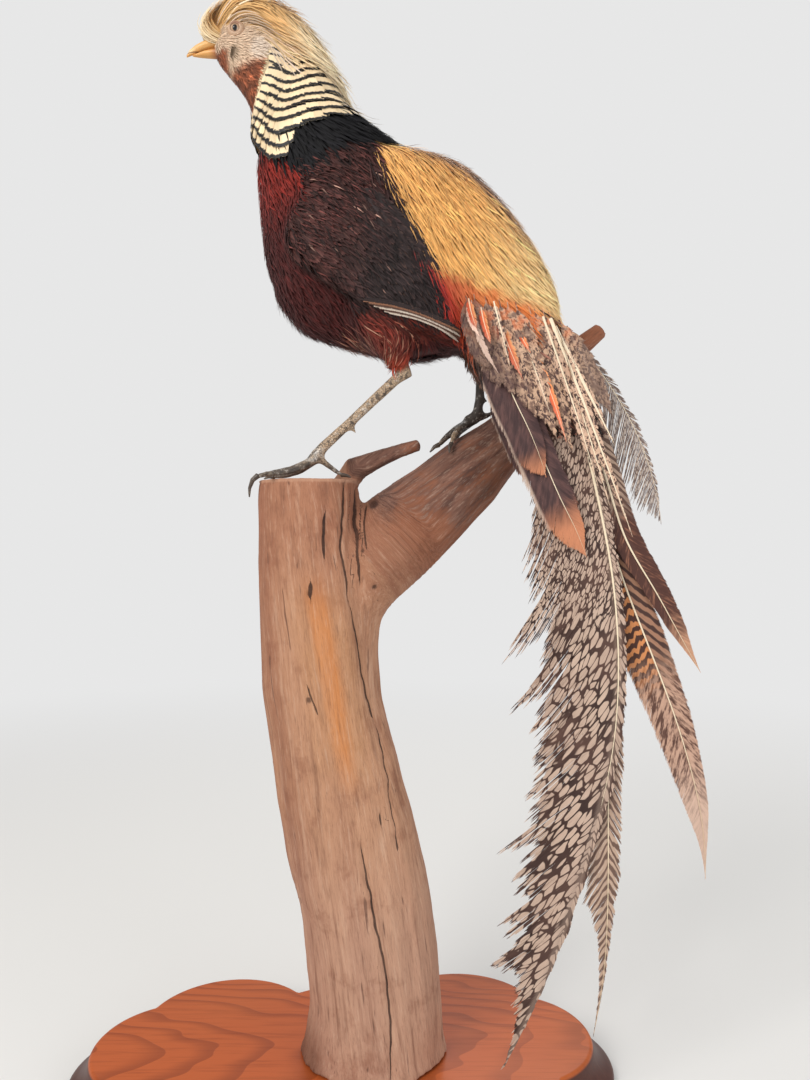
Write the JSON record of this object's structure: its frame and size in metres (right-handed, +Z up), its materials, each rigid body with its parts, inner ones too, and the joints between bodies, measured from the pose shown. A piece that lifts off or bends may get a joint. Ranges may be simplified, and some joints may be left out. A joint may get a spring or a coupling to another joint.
{
  "type": "taxidermy golden pheasant",
  "caption": "Life-size mounted golden pheasant cock standing on a forked driftwood log with a scalloped varnished plaque; a still model.",
  "frame": {"origin": "middle of the plaque's flat underside", "axes": "+Z up, -X towards the bill, -Y the bird's left side, which faces the picture's camera"},
  "size_m": [0.4715, 0.2304, 0.841],
  "materials": {
    "face_feathers": "pale buff facial feathers, rusty throat",
    "cape_feathers": "cream cape feathers with black bars",
    "crest_feathers": "silky golden crest",
    "bill_horn": "satin horn",
    "eye_glass": "glass eye, pale iris",
    "mantle_feathers": "glossy black",
    "breast_feathers": "deep red to maroon",
    "rump_feathers": "hair-like straw gold",
    "tail_coverts": "orange-red and mottled brown coverts",
    "wing_feathers": "dark maroon brown",
    "tail_brown": "dark brown with rufous tips",
    "tail_netted": "pale spots in a dark brown net",
    "tail_barred": "rufous with dark bars",
    "leg_scales": "dry scaly skin",
    "claw_horn": "satin horn",
    "driftwood": "bare weathered driftwood",
    "plaque_wood": "glossy varnish, dark moulded edge"
  },
  "bodies": {
    "root": {"head": "face_feathers", "neck_cape": "cape_feathers", "crest": "crest_feathers", "bill_upper": "bill_horn", "bill_lower": "bill_horn", "eye_left": "eye_glass", "eye_right": "eye_glass", "mantle": "mantle_feathers", "breast": "breast_feathers", "belly": "breast_feathers", "rump": "rump_feathers", "tail_root": "tail_coverts", "wing_left": "wing_feathers", "wing_right": "wing_feathers", "tail_lateral_left_outer": "tail_brown", "tail_lateral_left_inner": "tail_brown", "tail_central_left": "tail_netted", "tail_central_right": "tail_netted", "tail_splayed_short": "tail_brown", "tail_splayed_long": "tail_barred", "tail_curved_covert": "tail_netted", "tail_middle_right": "tail_netted", "tail_lateral_right_inner": "tail_brown", "tail_lateral_right_outer": "tail_brown", "thigh_left": "breast_feathers", "shank_left": "leg_scales", "foot_left": "leg_scales", "claw_left_middle": "claw_horn", "claw_left_inner": "claw_horn", "claw_left_outer": "claw_horn", "claw_left_hind": "claw_horn", "thigh_right": "breast_feathers", "shank_right": "leg_scales", "foot_right": "leg_scales", "claw_right_middle": "claw_horn", "claw_right_inner": "claw_horn", "claw_right_outer": "claw_horn", "claw_right_hind": "claw_horn", "perch_log": "driftwood", "plaque": "plaque_wood"}
  },
  "joints": []
}
